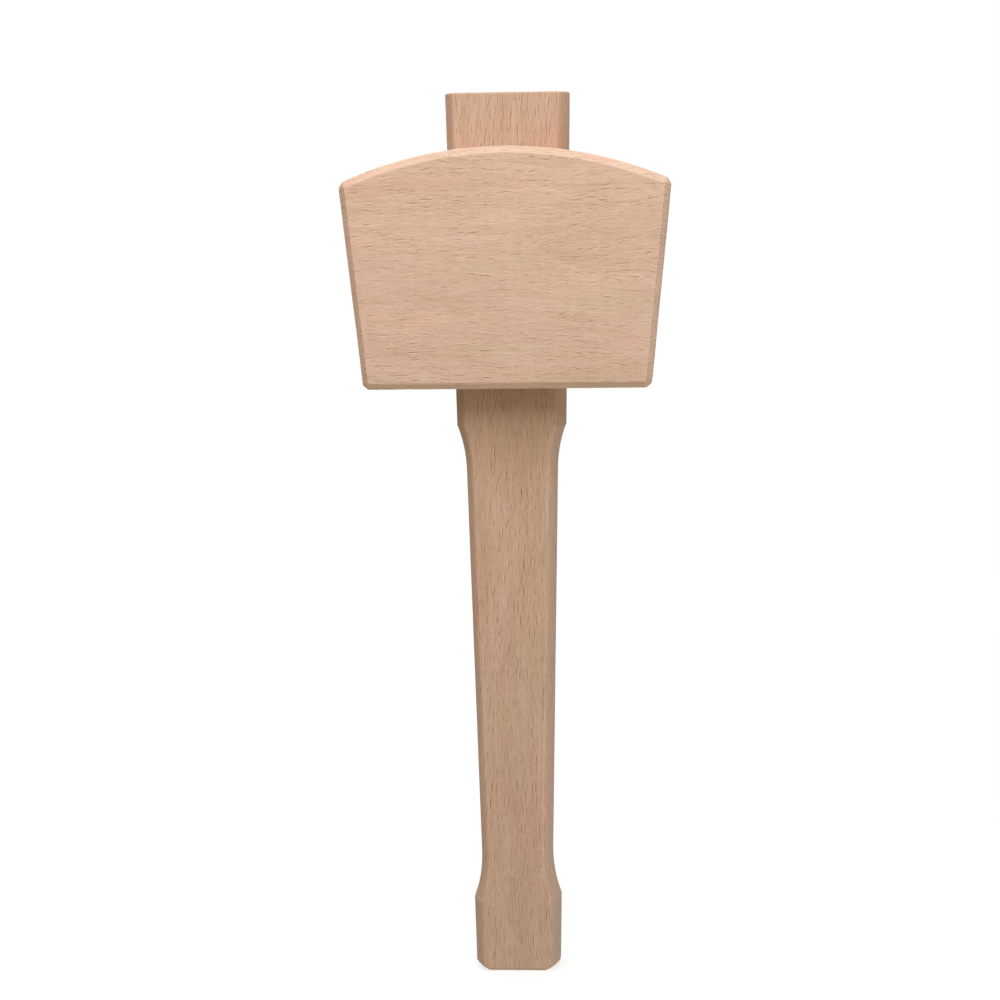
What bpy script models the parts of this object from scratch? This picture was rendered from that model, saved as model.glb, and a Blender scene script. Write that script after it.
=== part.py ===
"""A wooden joiner's mallet: a beech head block with a tapered handle dropped through it from the top.

The mallet stands upright on the end of its handle. +Z is up, the head is long in X and thick in Y,
and the origin is the middle of the handle's bottom end. All sizes are in metres.
"""

import math

import bmesh
import bpy
from mathutils import Vector

MM = 0.001

# Head: a block that widens upwards, with a flat underside and a crowned top
HEAD_UNDERSIDE_Z = 259.0 * MM
HEAD_CORNER_Z = 345.9 * MM  # where the striking faces meet the crown
HEAD_WIDTH_AT_CORNERS = 139.8 * MM
HEAD_WIDTH_AT_UNDERSIDE = 121.8 * MM
HEAD_THICKNESS = 66.0 * MM
CROWN_RADIUS = 172.5 * MM
CHEEK_CHAMFER = 2.7 * MM  # round the two broad faces
CORNER_CHAMFER = 2.0 * MM  # along the striking faces' upper and lower edges

# Handle: one stick, wider towards the top, with a grip recessed into its two narrow sides
HANDLE_LENGTH = 383.4 * MM
HANDLE_THICKNESS = 25.0 * MM
FOOT_END_WIDTH = 37.0 * MM
SIDE_LEAN = math.radians(1.2)  # each side leans out by this on its way up
FOOT_HEIGHT = 31.3 * MM
SHOULDER_Z = 241.3 * MM  # the top of the grip's recess
GRIP_WIDTH_AT_FOOT = 30.2 * MM
GRIP_WIDTH_AT_SHOULDER = 40.2 * MM
COVE_RADIUS = 56.0 * MM

# The handle's long edges: how far they are eased in across the broad faces, how full the easing is, and
# how much further it reaches round the narrow sides. A fullness of 1 is straight and 2 is an ellipse
STICK_EASING = 4.2 * MM
STICK_FULLNESS = 1.4
GRIP_EASING = 4.0 * MM
GRIP_FULLNESS = 1.7
SIDE_REACH = 2.2

# The handle's two ends
FOOT_CHAMFER = 2.6 * MM
FOOT_FACE_ROUND = 1.4 * MM
TOP_END_ROUND = 0.7 * MM

# The mortise is the stick's own taper, larger all round by the gap
MORTISE_GAP = 0.3 * MM
MORTISE_OVERRUN = 12.0 * MM  # how far the cutter stands out of the head

CROWN_STEP = math.radians(1)
COVE_STEP = math.radians(2)
ROUND_STEP = math.radians(11.25)
EASING_SEGMENTS = 8

HEAD_COLOUR = (0.62, 0.42, 0.29, 1.0)
HANDLE_COLOUR = (0.57, 0.36, 0.24, 1.0)
WOOD_ROUGHNESS = 0.6


def clear_scene():
    for old in list(bpy.data.objects):
        bpy.data.objects.remove(old)


def new_collection(name):
    collection = bpy.data.collections.new(name)
    bpy.context.scene.collection.children.link(collection)
    return collection


def wood(name, colour):
    material = bpy.data.materials.new(name)
    material.use_nodes = True
    shader = material.node_tree.nodes["Principled BSDF"]
    shader.inputs["Base Color"].default_value = colour
    shader.inputs["Roughness"].default_value = WOOD_ROUGHNESS
    shader.inputs["Metallic"].default_value = 0.0
    return material


def arc(centre, radius, start, end, step):
    """Points along an arc in the plane of X and Z, both ends included."""
    count = math.ceil(abs(end - start) / step)
    angles = [start + (end - start) * i / count for i in range(count + 1)]
    return [centre + radius * Vector((math.cos(a), math.sin(a))) for a in angles]


def head_outline():
    """The head seen from the front: the flat underside, then the crown from right to left."""
    corner = Vector((HEAD_WIDTH_AT_CORNERS / 2, HEAD_CORNER_Z))
    half_sweep = math.asin(corner.x / CROWN_RADIUS)
    centre = Vector((0, corner.y - CROWN_RADIUS * math.cos(half_sweep)))
    crown = arc(centre, CROWN_RADIUS, math.pi / 2 - half_sweep, math.pi / 2 + half_sweep, CROWN_STEP)
    half_underside = HEAD_WIDTH_AT_UNDERSIDE / 2
    underside = [Vector((side * half_underside, HEAD_UNDERSIDE_Z)) for side in (-1, 1)]
    return underside + crown


def upright_slab(name, outline, thickness, collection):
    """A closed mesh object: the outline's x and y become X and Z, and it is thick in Y about the origin."""
    curve = bpy.data.curves.new(name, "CURVE")
    curve.dimensions = "2D"
    curve.fill_mode = "BOTH"
    curve.extrude = thickness / 2
    spline = curve.splines.new("POLY")
    spline.points.add(len(outline) - 1)
    for point, place in zip(spline.points, outline):
        point.co = (place.x, place.y, 0, 1)
    spline.use_cyclic_u = True
    drawn = bpy.data.objects.new(name + "_outline", curve)
    drawn.rotation_euler = (math.pi / 2, 0, 0)
    collection.objects.link(drawn)
    bpy.context.view_layer.update()

    graph = bpy.context.evaluated_depsgraph_get()
    mesh = bpy.data.meshes.new_from_object(drawn.evaluated_get(graph))
    mesh.name = name
    weld_caps(mesh)
    slab = bpy.data.objects.new(name, mesh)
    slab.matrix_world = drawn.matrix_world
    collection.objects.link(slab)
    bpy.data.objects.remove(drawn)
    return slab


def weld_caps(mesh):
    """Joins a filled curve's two caps to its sides, and makes each cap a single face."""
    bm = bmesh.new()
    bm.from_mesh(mesh)
    bmesh.ops.remove_doubles(bm, verts=bm.verts, dist=0.01 * MM)
    bmesh.ops.dissolve_limit(bm, angle_limit=math.radians(0.1), verts=bm.verts, edges=bm.edges)
    bm.to_mesh(mesh)
    bm.free()


def weigh_chamfers(mesh):
    """Marks the block's edges for its chamfers, each with its share of the largest one."""
    bm = bmesh.new()
    bm.from_mesh(mesh)
    weights = bm.edges.layers.float.new("bevel_weight_edge")
    for edge in bm.edges:
        start, end = (vert.co for vert in edge.verts)
        if abs(start.z - end.z) < 0.01 * MM:
            edge[weights] = 1.0
        elif edge.calc_face_angle() > math.radians(30):
            edge[weights] = CORNER_CHAMFER / CHEEK_CHAMFER
    bm.to_mesh(mesh)
    bm.free()


def stick_half_width(height):
    """Half the width of the plain tapered stick that the handle is cut from."""
    return FOOT_END_WIDTH / 2 + height * math.tan(SIDE_LEAN)


def cove(grip_foot, grip_top, corner, way):
    """The hollow from the grip's straight side out to a corner of the stick: way 1 goes up, -1 down."""
    along = (grip_top - grip_foot).normalized()
    outward = Vector((along.y, -along.x))
    depth = (corner - grip_foot).dot(outward)
    sweep = math.acos(1 - depth / COVE_RADIUS)
    corner_run = (corner - grip_foot).dot(along)
    tangent = grip_foot + along * (corner_run - way * COVE_RADIUS * math.sin(sweep))
    start = math.atan2(-outward.y, -outward.x)
    return arc(tangent + outward * COVE_RADIUS, COVE_RADIUS, start, start - way * sweep, COVE_STEP)


def foot_chamfer():
    """The foot's chamfered corner from the bottom up, with a point at each height of its faces' rounding."""
    rounding = arc(Vector((0, FOOT_FACE_ROUND)), FOOT_FACE_ROUND, -math.pi / 2, 0, ROUND_STEP)
    heights = [point.y for point in rounding] + [FOOT_CHAMFER]
    bottom_half_width = stick_half_width(FOOT_CHAMFER) - FOOT_CHAMFER
    return [Vector((bottom_half_width + height, height)) for height in heights]


def handle_side():
    """The handle's right-hand side from the bottom up, as points of half width and height."""
    foot_end = foot_chamfer()
    grip_foot = Vector((GRIP_WIDTH_AT_FOOT / 2, FOOT_HEIGHT))
    grip_top = Vector((GRIP_WIDTH_AT_SHOULDER / 2, SHOULDER_Z))
    foot_corner = Vector((stick_half_width(FOOT_HEIGHT), FOOT_HEIGHT))
    shoulder_corner = Vector((stick_half_width(SHOULDER_Z), SHOULDER_Z))
    lower_cove = reversed(cove(grip_foot, grip_top, foot_corner, -1))
    upper_cove = cove(grip_foot, grip_top, shoulder_corner, 1)
    top_height = HANDLE_LENGTH - TOP_END_ROUND
    top_centre = Vector((stick_half_width(top_height) - TOP_END_ROUND, top_height))
    top_end = arc(top_centre, TOP_END_ROUND, 0, math.pi / 2, ROUND_STEP)
    return [*foot_end, *lower_cove, *upper_cove, *top_end]


def rounded_in(height, rounding):
    """How far a broad face is set back at a height above an end whose edge is rounded."""
    below = min(rounding, max(0.0, rounding - height))
    return rounding - math.sqrt(rounding**2 - below**2)


def edge_shape(half_width, height):
    """The long edges' easing and fullness: the stick's, turning into the grip's where that is cut in."""
    cut = stick_half_width(height) - half_width
    deepest = (FOOT_END_WIDTH - GRIP_WIDTH_AT_FOOT) / 2
    in_recess = FOOT_HEIGHT < height < SHOULDER_Z
    share = min(1.0, cut / deepest) if in_recess else 0.0
    easing = STICK_EASING + share * (GRIP_EASING - STICK_EASING)
    return easing, STICK_FULLNESS + share * (GRIP_FULLNESS - STICK_FULLNESS)


def eased_corner(easing, fullness):
    """Points round an eased corner from its X side to its Y side, both measured from where easing starts."""
    angles = [math.pi / 2 * i / EASING_SEGMENTS for i in range(EASING_SEGMENTS + 1)]
    power = 2 / fullness
    across, deep = easing, easing * SIDE_REACH
    return [(across * abs(math.cos(a)) ** power, deep * abs(math.sin(a)) ** power) for a in angles]


def section(half_width, half_thickness, easing, fullness, height):
    """A level rectangle with eased corners as a loop of points, anticlockwise seen from above."""
    start = Vector((half_width - easing, half_thickness - easing * SIDE_REACH))
    corner = [(start.x + x, start.y + y) for x, y in eased_corner(easing, fullness)]
    points = []
    for x_side, y_side in [(1, 1), (-1, 1), (-1, -1), (1, -1)]:
        in_order = corner if x_side == y_side else corner[::-1]
        points += [(x_side * x, y_side * y, height) for x, y in in_order]
    return points


def loft(name, sections, collection):
    """A closed solid through level sections that all have the same number of points, from the bottom up."""
    bm = bmesh.new()
    rings = [[bm.verts.new(point) for point in points] for points in sections]
    for low, high in zip(rings, rings[1:]):
        for i, vert in enumerate(low):
            after = (i + 1) % len(low)
            bm.faces.new((vert, low[after], high[after], high[i]))
    bm.faces.new(reversed(rings[0]))
    bm.faces.new(rings[-1])
    mesh = bpy.data.meshes.new(name)
    bm.to_mesh(mesh)
    bm.free()
    solid = bpy.data.objects.new(name, mesh)
    collection.objects.link(solid)
    return solid


def make_mortise_cutter(collection):
    half_thickness = HANDLE_THICKNESS / 2 + MORTISE_GAP
    sections = []
    for height in (HEAD_UNDERSIDE_Z - MORTISE_OVERRUN, HANDLE_LENGTH + MORTISE_OVERRUN):
        half_width = stick_half_width(height) + MORTISE_GAP
        sections.append(section(half_width, half_thickness, STICK_EASING, STICK_FULLNESS, height))
    cutter = loft("mortise_cutter", sections, collection)
    cutter.hide_render = True
    cutter.display_type = "WIRE"
    return cutter


def make_head(collection, cutter):
    head = upright_slab("head", head_outline(), HEAD_THICKNESS, collection)
    head.data.materials.append(wood("head_beech", HEAD_COLOUR))
    weigh_chamfers(head.data)
    head.data.shade_smooth()
    head.data.set_sharp_from_angle(angle=math.radians(20))
    chamfer = head.modifiers.new("chamfered_edges", "BEVEL")
    chamfer.width = CHEEK_CHAMFER
    chamfer.segments = 1
    chamfer.limit_method = "WEIGHT"
    chamfer.mark_sharp = True
    mortise = head.modifiers.new("mortise", "BOOLEAN")
    mortise.operation = "DIFFERENCE"
    mortise.solver = "EXACT"
    mortise.object = cutter
    return head


def make_handle(collection):
    sections = []
    for half_width, height in handle_side():
        set_back = rounded_in(height, FOOT_FACE_ROUND) + rounded_in(HANDLE_LENGTH - height, TOP_END_ROUND)
        half_thickness = HANDLE_THICKNESS / 2 - set_back
        easing, fullness = edge_shape(half_width, height)
        sections.append(section(half_width, half_thickness, easing, fullness, height))
    handle = loft("handle", sections, collection)
    handle.data.materials.append(wood("handle_beech", HANDLE_COLOUR))
    handle.data.shade_smooth()
    handle.data.set_sharp_from_angle(angle=math.radians(18))
    return handle


def main():
    clear_scene()
    pieces = new_collection("wooden_mallet")
    cutters = new_collection("cutters")
    cutter = make_mortise_cutter(cutters)
    make_head(pieces, cutter)
    make_handle(pieces)


main()
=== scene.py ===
"""Looks of the wooden mallet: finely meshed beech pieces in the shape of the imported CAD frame.

The head's grain runs along X and the handle's along Z, and both are cut so that their broad faces
are nearly tangential to the growth rings, which is where beech shows its short dark ray flecks.
"""

import math
from types import SimpleNamespace

import bmesh
import bpy
from mathutils import Matrix, Vector, kdtree, noise


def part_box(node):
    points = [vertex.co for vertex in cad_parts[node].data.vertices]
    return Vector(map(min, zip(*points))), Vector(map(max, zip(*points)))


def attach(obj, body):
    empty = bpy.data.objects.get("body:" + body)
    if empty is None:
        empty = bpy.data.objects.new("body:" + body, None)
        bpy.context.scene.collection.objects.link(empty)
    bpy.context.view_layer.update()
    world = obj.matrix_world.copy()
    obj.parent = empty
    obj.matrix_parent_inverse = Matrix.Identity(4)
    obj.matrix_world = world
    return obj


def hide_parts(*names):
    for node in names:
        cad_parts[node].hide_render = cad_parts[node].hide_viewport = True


MM = 0.001

# Camera: a long lens as high as the head and a little to its right, tilted down
CAMERA_PLACE = Vector((0.0716, -1.1, 0.3455))
CAMERA_YAW = math.radians(4.02)
CAMERA_DROP = math.radians(7.11)
CAMERA_ROLL = math.radians(0.82)
CAMERA_LENS = 91.67
SENSOR_WIDTH = 36.0

# Mesh: softened edges and small faces, so that the surface can be slightly uneven
SHARP_ANGLE = math.radians(18)
FLAT_ANGLE = math.radians(0.2)
MERGE_DISTANCE = 0.001 * MM
SLICE_PITCH = 1.5 * MM
EDGE_POINT_PITCH = 0.5 * MM
HEAD_SOFTENING = 0.9 * MM
HANDLE_SOFTENING = 0.3 * MM
FLAT_UNEVENNESS = 0.03 * MM
EDGE_UNEVENNESS = 0.13 * MM
EDGE_REACH = 2.5 * MM
WAVES_PER_METRE = 110
RIPPLES_PER_METRE = 420
WAVE_SHARE = 0.6

# Axes, as coordinates are numbered
X = 0
Y = 1
Z = 2

# Where each piece was cut from its tree, in millimetres: the pith's place across the grain and in Y
HEAD_PITH = (290, 95)
HANDLE_PITH = (12, 80)

# How wide the dashes are and, past 1, how strong the streaks; and the seeds of each surface and wood
HEAD_FIGURE = 1.0
HANDLE_FIGURE = 1.28
HEAD_SEEDS = (3, 11)
HANDLE_SEEDS = (8, 43)

# Beech: base colours, and what each feature multiplies them by
HEAD_COLOUR = (0.67, 0.467, 0.345, 1)
HANDLE_COLOUR = (0.613, 0.411, 0.290, 1)
MOTTLE_TINT = (0.95, 0.94, 0.93, 1)
ROSY_TINT = (1.04, 0.975, 0.985, 1)
OLIVE_TINT = (0.98, 0.99, 0.96, 1)
LATE_TINT = (0.92, 0.88, 0.85, 1)
FIBRE_TINT = (0.92, 0.895, 0.875, 1)
THREAD_TINT = (0.90, 0.875, 0.86, 1)
# also used for the band beside each dash: partly pale fibres, partly a painted highlight on the dash's lit
# side
PALE_TINT = (1.16, 1.20, 1.22, 1)
FLECK_TINT = (0.60, 0.49, 0.42, 1)
# also used at half strength for the painted shadow beside each pale fleck
SMALL_FLECK_AND_SHADOW_TINT = (0.76, 0.69, 0.63, 1)
END_GRAIN_TINT = (0.98, 0.955, 0.93, 1)
TORN_TINT = (0.72, 0.68, 0.64, 1)
# painted highlight along every sharp edge
EDGE_HIGHLIGHT_TINT = (1.06, 1.07, 1.08, 1)
STREAK_TINT = (0.90, 0.88, 0.86, 1)
# painted shade on the handle under the head's overhang
NECK_SHADE_TINT = (0.86, 0.83, 0.73, 1)

# Beech: sizes of the patterns, in millimetres along the grain, across it and outwards
FIBRE_SIZE = (26, 0.8, 0.8)
THREAD_SIZE = (4.5, 0.3, 0.3)
STREAK_SIZE = (60, 2.2, 2.2)
MOTTLE_SIZE = (55, 20, 20)
HUE_SIZE = (64, 20, 20)
SPECK_SIZE = (0.7, 0.7, 0.7)
RING_CHANGE_SIZE = (400, 400, 9)

# Beech: ray flecks, as how far apart they are and half their size, each way, and the share that is there
DASHES = ((6.2, 1.1, 7.5), (3.3, 0.145, 3.7), 0.78)
PALE_FLECKS = ((7.0, 1.7, 7), (2.4, 0.18, 3.0), 0.7)
SMALL_FLECKS = ((2.8, 0.9, 4), (1.1, 0.13, 1.8), 0.7)

# Beech: shifts that keep one pattern from lining up with another
PALE_SHIFT = (57, 41, 23)
SMALL_SHIFT = (31, 17, 5)
HUE_SHIFT = (500, 0, 0)

# Beech: the rest of its figure and the painted shade at the neck, in millimetres where it is a length
RING_WIDTH = 3.4
LATE_STOPS = [(0, 0.35), (0.12, 0.0), (0.6, 0.15), (0.9, 1.0), (1, 0.35)]
LATE_DEPTH = 0.5  # how far the latest wood takes its tint
FLECK_SCATTER = 0.78
FLECK_LEAN = 0.22  # the range of the flecks' slopes
LEVEL_SHARE = 0.4  # a level fleck's place in that range, from 0 to 1
RADIAL_DEPTH = 0.55  # how strong the dashes are in radial faces, against tangential ones
NECK_REACH = 52  # how far down from the neck the painted shade fades out
NECK_FADE = (35, -5)  # above the neck, where none of it is left and where all of it is there

# Beech: roughness, gloss and the depth of the bumps
ROUGHNESS = 0.5
FIBRE_ROUGHNESS = 0.16
END_GRAIN_ROUGHNESS = 0.12
GLOSS = 0.35
RELIEF = 0.07 * MM

# Studio
WHITE = (1, 1, 1, 1)
FLOOR_RADIUS = 12.0
FLOOR_COLOUR = (0.93, 0.93, 0.93, 1)
FLOOR_GLOW = 0.75  # the glow's share in the floor under the mallet
FLOOR_FADE = (0.1, 0.9)  # distances from the middle between which the floor brightens into white
SKY_STOPS = [(0.2, 0.80), (0.3, 0.67), (0.4, 0.42), (0.5, 0.24), (0.6, 0.34), (0.8, 0.68)]
BOUNCE_COLOUR = (1.0, 0.935, 0.75, 1)
RIGHT_COLOUR = (0.92, 1.0, 1.08, 1)
BOUNCE_TILT = 0.55  # how the light from below grows from the middle to the far right
SKY_TILT = -0.35  # and how the light from above does
LIGHT_AIM = Vector((0, 0, 0.27))
KEY_PLACE = Vector((0.06, -0.50, 0.93))
KEY_SIZE = (0.8, 0.85)
KEY_POWER = 7.6
BACK_PLACE = Vector((-0.2, 0.95, 0.85))
BACK_SIZE = (1.0, 0.7)
BACK_POWER = 6.0


def make_camera():
    data = bpy.data.cameras.new("camera")
    data.lens = CAMERA_LENS
    data.sensor_width = SENSOR_WIDTH
    camera = bpy.data.objects.new("camera", data)
    across = math.cos(CAMERA_DROP)
    ahead = Vector((-math.sin(CAMERA_YAW) * across, math.cos(CAMERA_YAW) * across, -math.sin(CAMERA_DROP)))
    turn = ahead.to_track_quat("-Z", "Y").to_matrix().to_4x4()
    camera.matrix_world = Matrix.Translation(CAMERA_PLACE) @ turn @ Matrix.Rotation(-CAMERA_ROLL, 4, "Z")
    bpy.context.scene.collection.objects.link(camera)
    bpy.context.scene.camera = camera


# ---------------------------------------------------------------- meshes


def sharp_edges(bm):
    return [e for e in bm.edges if e.is_manifold and e.calc_face_angle() > SHARP_ANGLE]


def slice_finely(bm, pitch):
    """Cuts the mesh along planes square to each axis, so that no face is wider than the pitch."""
    for axis in range(3):
        places = [v.co[axis] for v in bm.verts]
        low, high = min(places), max(places)
        count = math.ceil((high - low) / pitch)
        normal = Vector((0, 0, 0))
        normal[axis] = 1
        for i in range(1, count):
            at = normal * (low + (high - low) * i / count)
            everything = bm.verts[:] + bm.edges[:] + bm.faces[:]
            bmesh.ops.bisect_plane(
                bm, geom=everything, plane_co=at, plane_no=normal, dist=MERGE_DISTANCE,
            )


def edge_finder(bm):
    """A tree of points along the mesh's sharp edges."""
    points = []
    for edge in sharp_edges(bm):
        a, b = (v.co for v in edge.verts)
        count = max(1, math.ceil((b - a).length / EDGE_POINT_PITCH))
        points += [a.lerp(b, i / count) for i in range(count + 1)]
    tree = kdtree.KDTree(len(points))
    for i, point in enumerate(points):
        tree.insert(point, i)
    tree.balance()
    return tree


def edge_share(tree, place):
    """1 on a sharp edge, falling to 0 at EDGE_REACH from it."""
    distance = tree.find(place)[2]
    share = max(0.0, 1 - distance / EDGE_REACH)
    return share * share * (3 - 2 * share)


def refined(node, name, soften, seed):
    """A fine mesh in a CAD node's shape, with its sharp edges rounded and its surface a little uneven."""
    bm = bmesh.new()
    bm.from_mesh(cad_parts[node].data)
    bmesh.ops.remove_doubles(bm, verts=bm.verts, dist=MERGE_DISTANCE)
    bmesh.ops.dissolve_limit(bm, angle_limit=FLAT_ANGLE, verts=bm.verts, edges=bm.edges)
    tree = edge_finder(bm)
    bmesh.ops.bevel(
        bm, geom=sharp_edges(bm), offset=soften, offset_type="OFFSET", segments=3, profile=0.5,
        affect="EDGES", clamp_overlap=True,
    )
    slice_finely(bm, SLICE_PITCH)
    bm.normal_update()
    closeness = bm.verts.layers.float.new("edge_closeness")
    moves = []
    noise.seed_set(seed)  # without it, noise_vector is different in each run
    for vert in bm.verts:
        share = edge_share(tree, vert.co)
        vert[closeness] = share
        wave = noise.noise_vector(vert.co * WAVES_PER_METRE)
        ripple = noise.noise_vector(vert.co * RIPPLES_PER_METRE)
        size = FLAT_UNEVENNESS + share * (EDGE_UNEVENNESS - FLAT_UNEVENNESS)
        moves.append((wave * WAVE_SHARE + ripple * (1 - WAVE_SHARE)) * size)
    for vert, move in zip(bm.verts, moves):
        vert.co += move
    mesh = bpy.data.meshes.new(name)
    bm.to_mesh(mesh)
    bm.free()
    mesh.shade_smooth()
    piece = bpy.data.objects.new(name, mesh)
    bpy.context.scene.collection.objects.link(piece)
    weighted = piece.modifiers.new("weighted_normals", "WEIGHTED_NORMAL")
    weighted.keep_sharp = True
    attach(piece, node)
    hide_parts(node)
    return piece


# ---------------------------------------------------------------- materials


class Nodes:
    """Short calls that build a node tree.

    Each returns an output socket, and a value is a number, a tuple or a socket.
    """

    def __init__(self, tree):
        self.tree = tree
        tree.nodes.clear()

    def node(self, kind, **settings):
        node = self.tree.nodes.new("ShaderNode" + kind)
        for key, value in settings.items():
            setattr(node, key, value)
        return node

    def set(self, socket, value):
        if isinstance(value, bpy.types.NodeSocket):
            self.tree.links.new(value, socket)
        else:
            socket.default_value = value

    def math(self, operation, *values):
        node = self.node("Math", operation=operation)
        for socket, value in zip(node.inputs, values):
            self.set(socket, value)
        return node.outputs[0]

    def vector(self, operation, *values, scale=None):
        node = self.node("VectorMath", operation=operation)
        for socket, value in zip(node.inputs, values):
            self.set(socket, value)
        if scale is not None:
            self.set(node.inputs["Scale"], scale)
        return node.outputs["Value" if operation == "LENGTH" else "Vector"]

    def split(self, vector):
        node = self.node("SeparateXYZ")
        self.set(node.inputs[0], vector)
        return node.outputs[:]

    def join(self, *values):
        node = self.node("CombineXYZ")
        for socket, value in zip(node.inputs, values):
            self.set(socket, value)
        return node.outputs[0]

    def noise(self, place, size, detail=2.0, roughness=0.5, colour=False):
        """Noise in blobs of about a size each way."""
        node = self.node("TexNoise")
        self.set(node.inputs["Vector"], self.vector("DIVIDE", place, size))
        node.inputs["Scale"].default_value = 1.0
        node.inputs["Detail"].default_value = detail
        node.inputs["Roughness"].default_value = roughness
        return node.outputs["Color" if colour else "Fac"]

    def stretch(self, value, from_low, from_high, to_low=0.0, to_high=1.0, smooth=True):
        """Maps a range of value onto another, clamped."""
        node = self.node("MapRange", interpolation_type="SMOOTHSTEP" if smooth else "LINEAR")
        for socket, number in zip(node.inputs, (value, from_low, from_high, to_low, to_high)):
            self.set(socket, number)
        return node.outputs[0]

    def curve(self, value, stops):
        """A grey level by position, through (position, level) stops."""
        node = self.node("ValToRGB")
        ramp = node.color_ramp
        for element, (position, level) in zip((ramp.elements[0], ramp.elements[1]), (stops[0], stops[-1])):
            element.position = position
            element.color = (level, level, level, 1)
        for position, level in stops[1:-1]:
            ramp.elements.new(position).color = (level, level, level, 1)
        self.set(node.inputs[0], value)
        return node.outputs[0]

    def mix(self, factor, a, b, blend="MIX"):
        node = self.node("Mix", data_type="RGBA", blend_type=blend)
        self.set(node.inputs[0], factor)
        self.set(node.inputs[6], a)
        self.set(node.inputs[7], b)
        return node.outputs[2]


def flecks(n, wood, spacing, size, keep):
    """Lens-shaped flecks through the wood, as two masks: the flecks, and a thin band beside each.

    wood is in millimetres along the grain, across it and outwards; size is a fleck's half lengths
    the same three ways; keep is the share of the flecks that are there.
    """
    nearest = n.node("TexVoronoi")
    cells = n.vector("DIVIDE", wood, spacing)
    n.set(nearest.inputs["Vector"], cells)
    nearest.inputs["Scale"].default_value = 1.0
    nearest.inputs["Randomness"].default_value = FLECK_SCATTER
    away = n.vector("MULTIPLY", n.vector("SUBTRACT", cells, nearest.outputs["Position"]), spacing)
    along, across, outwards = n.split(away)
    chance, growth, lean = n.split(nearest.outputs["Color"])
    slope = n.math("MULTIPLY", n.math("SUBTRACT", lean, LEVEL_SHARE), FLECK_LEAN)
    across = n.math("MULTIPLY_ADD", along, slope, across)
    length = n.stretch(growth, 0, 1, size[0] * 0.5, size[0] * 1.4, smooth=False)
    strength = n.stretch(chance, 0, keep, 1.0, 0.4, smooth=False)
    strength = n.math("MULTIPLY", strength, n.math("LESS_THAN", chance, keep))
    masks = []
    for beside in (0.0, size[1] * 1.9):
        offset = n.math("SUBTRACT", across, n.math("MULTIPLY", n.math("SIGN", slope), beside))
        scaled = n.vector("DIVIDE", n.join(along, offset, outwards), n.join(length, size[1], size[2]))
        lens = n.stretch(n.vector("LENGTH", scaled), 1.0, 0.5)
        masks.append(n.math("MULTIPLY", lens, strength))
    return masks


def wander(n, place, size, amount):
    """A slow drift to add to a place: noise, with its size and amount each way."""
    drift = n.noise(place, size, colour=True)
    return n.vector("MULTIPLY", n.vector("SUBTRACT", drift, (0.5, 0.5, 0.5)), amount)


def tinted(n, factor, colour, tint):
    """The colour, multiplied by the tint as far as the factor says."""
    return n.mix(factor, colour, n.mix(1.0, colour, tint, "MULTIPLY"))


def in_the_tree(n, place, seeded, pith, seed):
    """Where a place is in the tree: along the grain, out from the pith, and all three ways for patterns.

    The tree wasn't straight, so the rings and fibres wander slowly. The patterns' places are along the
    grain, round the pith and outwards, moved by the seed. Everything is in millimetres.
    """
    bent = n.vector("ADD", place, wander(n, seeded, (90, 38, 38), (0, 9, 9)))
    bent = n.vector("ADD", bent, wander(n, seeded, (14, 7, 7), (0, 1.2, 1.2)))
    along, side, deep = n.split(bent)
    from_pith = n.math("SUBTRACT", side, pith[0])
    outwards = n.math("SUBTRACT", deep, pith[1])
    radius = n.vector("LENGTH", n.join(from_pith, outwards, 0.0))
    around = n.math("MULTIPLY", n.math("ARCTAN2", from_pith, outwards), abs(pith[1]))
    wood = n.vector("ADD", n.join(along, around, radius), (seed * 3, seed, 0))
    return along, radius, wood


def late_wood(n, wood, radius):
    """Growth rings: each darkens slowly outwards and ends in a thin dark line."""
    width_change = n.noise(wood, RING_CHANGE_SIZE, detail=1.0)
    ring = n.math("ADD", n.math("DIVIDE", radius, RING_WIDTH), n.math("MULTIPLY", width_change, 1.5))
    return n.curve(n.math("FRACT", ring), LATE_STOPS)


def add_rays(n, wood, figure, facing_across, p):
    """Rays: dark dashes in tangential faces, fainter ones in radial faces, and lines in end grain."""
    grainy = n.vector("ADD", wood, wander(n, wood, (9, 3, 6), (1.0, 0.9, 1)))
    spacing, (length, width, depth), share = DASHES
    # the band beside each dash: partly pale fibres, partly a painted highlight on the dash's lit side
    dash, p.beside = flecks(n, grainy, spacing, (length, width * figure, depth), share)
    p.dash = n.math("MULTIPLY", dash, n.stretch(facing_across, 0.5, 0.9, 1.0, RADIAL_DEPTH))
    # the band beside each pale fleck is a painted shadow
    p.pale, p.shadow = flecks(n, n.vector("ADD", grainy, PALE_SHIFT), *PALE_FLECKS)
    p.small, _ = flecks(n, n.vector("ADD", grainy, SMALL_SHIFT), *SMALL_FLECKS)
    p.streak = n.noise(grainy, STREAK_SIZE, detail=1.0)


def add_wear(n, place, facing_end, p):
    """Where the end grain is, where its edges are torn, and how near an edge each place is."""
    p.speck = n.noise(place, SPECK_SIZE, roughness=0.7)
    p.end_grain = n.stretch(facing_end, 0.4, 0.8)
    p.edge = n.node("Attribute", attribute_name="edge_closeness").outputs["Fac"]
    torn = n.math("MULTIPLY", p.end_grain, n.stretch(p.edge, 0.0, 0.8))
    p.torn = n.math("MULTIPLY", torn, n.stretch(p.speck, 0.56, 0.68))


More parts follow.
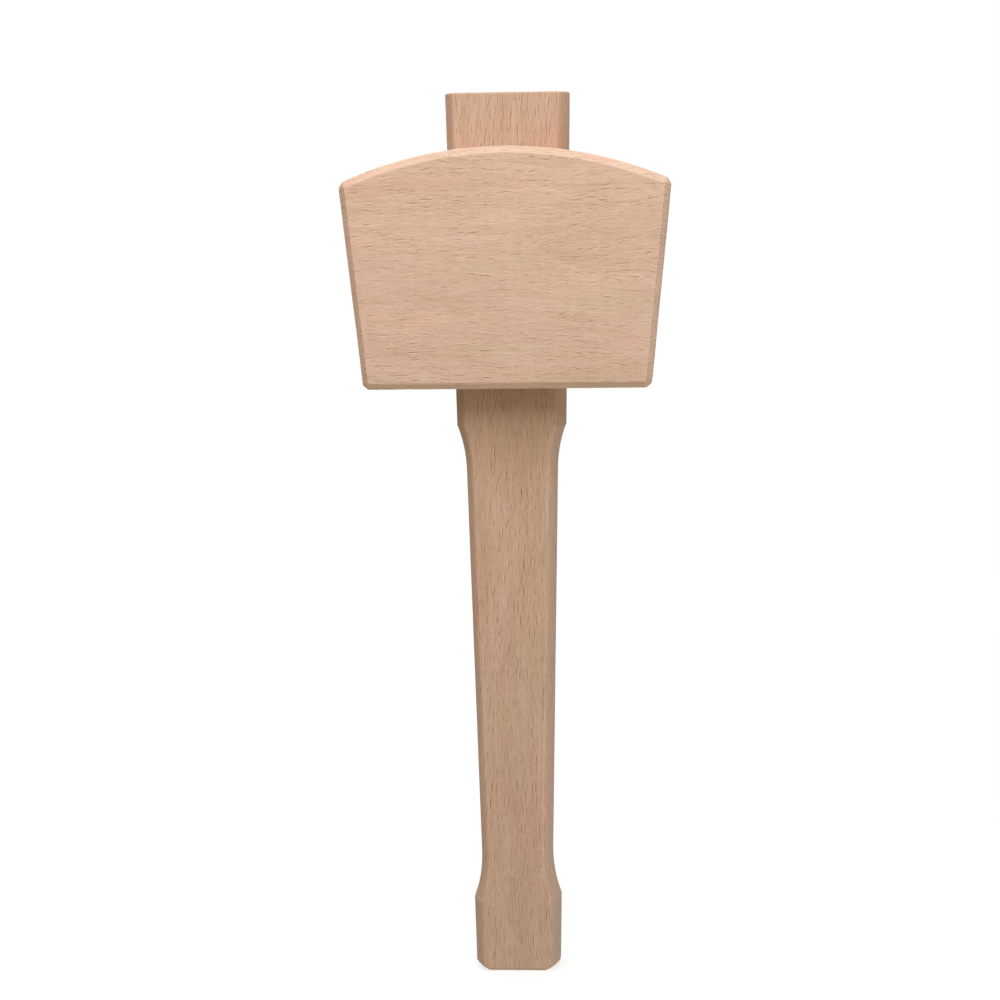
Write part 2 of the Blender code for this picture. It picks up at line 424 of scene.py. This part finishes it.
def wood_patterns(n, grain, across, pith, seed, figure):
    """Every pattern in the wood: masks and noises by name."""
    p = SimpleNamespace()
    coordinates = n.node("TexCoord")
    in_mm = n.split(n.vector("SCALE", coordinates.outputs["Object"], scale=1 / MM))
    facing = n.split(n.vector("ABSOLUTE", coordinates.outputs["Normal"]))
    place = n.join(in_mm[grain], in_mm[across], in_mm[Y])
    seeded = n.vector("ADD", place, (seed, seed * 2, 0))
    p.along, radius, wood = in_the_tree(n, place, seeded, pith, seed)
    p.late = late_wood(n, wood, radius)
    p.fibre = n.noise(wood, FIBRE_SIZE, detail=3.0, roughness=0.6)
    p.thread = n.noise(wood, THREAD_SIZE, roughness=0.6)
    p.mottle = n.noise(seeded, MOTTLE_SIZE)
    p.hue = n.noise(n.vector("ADD", seeded, HUE_SHIFT), HUE_SIZE)
    add_rays(n, wood, figure, facing[across], p)
    add_wear(n, place, facing[grain], p)
    return p


def beech_colour(n, p, colour, figure):
    """The base colour, tinted by each pattern in turn."""
    shade = colour
    for factor, tint in (
        (n.stretch(p.mottle, 0.3, 0.7), MOTTLE_TINT),
        (n.stretch(p.hue, 0.5, 0.7), ROSY_TINT),
        (n.stretch(p.hue, 0.5, 0.3), OLIVE_TINT),
        (n.math("MULTIPLY", p.late, LATE_DEPTH), LATE_TINT),
        (n.math("MULTIPLY", n.stretch(p.streak, 0.6, 0.35), figure - 1), STREAK_TINT),
        (n.stretch(p.fibre, 0.68, 0.3), FIBRE_TINT),
        (n.stretch(p.thread, 0.62, 0.35), THREAD_TINT),
        # pale flecks, and the band beside each dash: partly pale fibres, partly a painted highlight
        (n.math("MAXIMUM", p.pale, p.beside), PALE_TINT),
        # small flecks, and the painted shadow beside each pale fleck at half strength
        (n.math("MAXIMUM", p.small, n.math("MULTIPLY", p.shadow, 0.5)), SMALL_FLECK_AND_SHADOW_TINT),
        (p.dash, FLECK_TINT),
        (p.end_grain, END_GRAIN_TINT),
        (p.torn, TORN_TINT),
        # painted highlight along every sharp edge
        (n.stretch(p.edge, 0.85, 1.0), EDGE_HIGHLIGHT_TINT),
    ):
        shade = tinted(n, factor, shade, tint)
    return shade


def painted_neck_shade(n, p, shade, neck):
    """The colour with painted shade under the head, where the handle leaves it, fading out both ways."""
    below = n.stretch(p.along, neck - NECK_REACH, neck, smooth=False)
    above = n.stretch(p.along, neck + NECK_FADE[0], neck + NECK_FADE[1])
    return tinted(n, n.math("MULTIPLY", below, above), shade, NECK_SHADE_TINT)


def beech_relief(n, p):
    """The bumpy surface's normal: raised fibres and pale flecks, sunken dark flecks, torn end grain."""
    relief = n.math("MULTIPLY", p.fibre, 0.5)
    for pattern, height in (
        (p.thread, 0.35),
        (p.dash, -0.7),
        (p.small, -0.4),
        (p.pale, 0.4),
        (p.torn, -2.5),
        (n.math("MULTIPLY", p.speck, p.end_grain), 0.8),
    ):
        relief = n.math("MULTIPLY_ADD", pattern, height, relief)
    bump = n.node("Bump")
    bump.inputs["Strength"].default_value = 1.0
    bump.inputs["Distance"].default_value = RELIEF
    n.set(bump.inputs["Height"], relief)
    return bump.outputs[0]


def beech(name, grain, across, pith, colour, seed, figure, neck=None):
    """Bare beech with its grain along one axis: growth rings round a far pith, ray flecks and fibres.

    pith is the tree's centre line, in millimetres across the grain and in Y; figure is how wide the
    dashes are and, past 1, how strong the streaks; neck is the place along the grain, in
    millimetres, where the painted shade under the head is darkest.
    """
    material = bpy.data.materials.new(name)
    material.use_nodes = True
    n = Nodes(material.node_tree)
    p = wood_patterns(n, grain, across, pith, seed, figure)
    shade = beech_colour(n, p, colour, figure)
    # painted shade on the handle under the head
    if neck is not None:
        shade = painted_neck_shade(n, p, shade, neck)
    roughness = n.math("MULTIPLY_ADD", p.fibre, FIBRE_ROUGHNESS, ROUGHNESS)
    roughness = n.math("MULTIPLY_ADD", p.end_grain, END_GRAIN_ROUGHNESS, roughness)
    shader = n.node("BsdfPrincipled")
    n.set(shader.inputs["Base Color"], shade)
    n.set(shader.inputs["Roughness"], roughness)
    n.set(shader.inputs["Normal"], beech_relief(n, p))
    shader.inputs["Specular IOR Level"].default_value = GLOSS
    output = n.node("OutputMaterial")
    n.tree.links.new(shader.outputs[0], output.inputs[0])
    return material


# ---------------------------------------------------------------- pieces


def make_head():
    surface_seed, wood_seed = HEAD_SEEDS
    piece = refined("head", "head_block", HEAD_SOFTENING, surface_seed)
    wood = beech("head_beech_grain", X, Z, HEAD_PITH, HEAD_COLOUR, wood_seed, HEAD_FIGURE)
    piece.data.materials.append(wood)


def make_handle():
    surface_seed, wood_seed = HANDLE_SEEDS
    piece = refined("handle", "handle_stick", HANDLE_SOFTENING, surface_seed)
    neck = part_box("head")[0].z / MM
    wood = beech("handle_beech_grain", Z, X, HANDLE_PITH, HANDLE_COLOUR, wood_seed, HANDLE_FIGURE, neck)
    piece.data.materials.append(wood)


# ---------------------------------------------------------------- studio


def make_floor():
    """A pale floor that brightens into the white background away from the mallet."""
    bpy.ops.mesh.primitive_circle_add(vertices=96, radius=FLOOR_RADIUS, fill_type="NGON")
    floor = bpy.context.object
    floor.name = "floor"
    floor.location.z = -EDGE_UNEVENNESS
    material = bpy.data.materials.new("pale_floor")
    material.use_nodes = True
    n = Nodes(material.node_tree)
    distance = n.vector("LENGTH", n.node("TexCoord").outputs["Object"])
    paint = n.node("BsdfDiffuse")
    paint.inputs["Color"].default_value = FLOOR_COLOUR
    glow = n.node("Emission")
    glow.inputs["Strength"].default_value = 1.0
    blend = n.node("MixShader")
    n.set(blend.inputs[0], n.stretch(distance, *FLOOR_FADE, FLOOR_GLOW, 1.0))
    n.set(blend.inputs[1], paint.outputs[0])
    n.set(blend.inputs[2], glow.outputs[0])
    output = n.node("OutputMaterial")
    n.tree.links.new(blend.outputs[0], output.inputs[0])
    material.cycles.emission_sampling = "NONE"
    floor.data.materials.append(material)
    floor.visible_diffuse = False
    floor.visible_glossy = False
    floor.visible_shadow = False


def make_world():
    """White to the camera. As light it is dimmest at the horizon, brightest below, as over a pale floor."""
    world = bpy.data.worlds.new("world")
    bpy.context.scene.world = world
    world.use_nodes = True
    n = Nodes(world.node_tree)
    rightwards, _, height = n.split(n.node("TexCoord").outputs["Generated"])
    glow = n.curve(n.math("MULTIPLY_ADD", height, 0.5, 0.5), SKY_STOPS)
    tilt = n.math("MULTIPLY", rightwards, n.stretch(height, 0.2, -0.2, SKY_TILT, BOUNCE_TILT))
    glow = n.math("MULTIPLY", glow, n.math("ADD", tilt, 1.0))
    tint = n.mix(n.stretch(height, 0.2, -0.6), WHITE, BOUNCE_COLOUR)
    tint = n.mix(n.stretch(rightwards, 0.2, 0.9), tint, RIGHT_COLOUR)
    seen = n.node("LightPath").outputs["Is Camera Ray"]
    sky = n.node("Background")
    n.set(sky.inputs["Color"], n.mix(seen, n.mix(1.0, glow, tint, "MULTIPLY"), WHITE))
    sky.inputs["Strength"].default_value = 1.0
    output = n.node("OutputWorld")
    n.tree.links.new(sky.outputs[0], output.inputs[0])


def softbox(name, place, size, power):
    """A rectangular light at a place, turned towards the mallet and unseen by the camera."""
    data = bpy.data.lights.new(name, "AREA")
    data.shape = "RECTANGLE"
    data.size, data.size_y = size
    data.energy = power
    lamp = bpy.data.objects.new(name, data)
    lamp.location = place
    lamp.rotation_euler = (LIGHT_AIM - place).to_track_quat("-Z", "Y").to_euler()
    lamp.visible_camera = False
    bpy.context.scene.collection.objects.link(lamp)


# ---------------------------------------------------------------- main

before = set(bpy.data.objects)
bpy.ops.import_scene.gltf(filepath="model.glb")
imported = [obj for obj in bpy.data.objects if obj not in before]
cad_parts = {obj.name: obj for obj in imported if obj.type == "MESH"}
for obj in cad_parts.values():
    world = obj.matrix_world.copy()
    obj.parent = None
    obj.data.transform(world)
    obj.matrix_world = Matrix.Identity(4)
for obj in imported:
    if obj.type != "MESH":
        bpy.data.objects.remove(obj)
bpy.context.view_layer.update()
make_camera()
make_world()
make_floor()
softbox("key", KEY_PLACE, KEY_SIZE, KEY_POWER)
softbox("back", BACK_PLACE, BACK_SIZE, BACK_POWER)
make_head()
make_handle()
bpy.context.scene.view_settings.view_transform = "Standard"
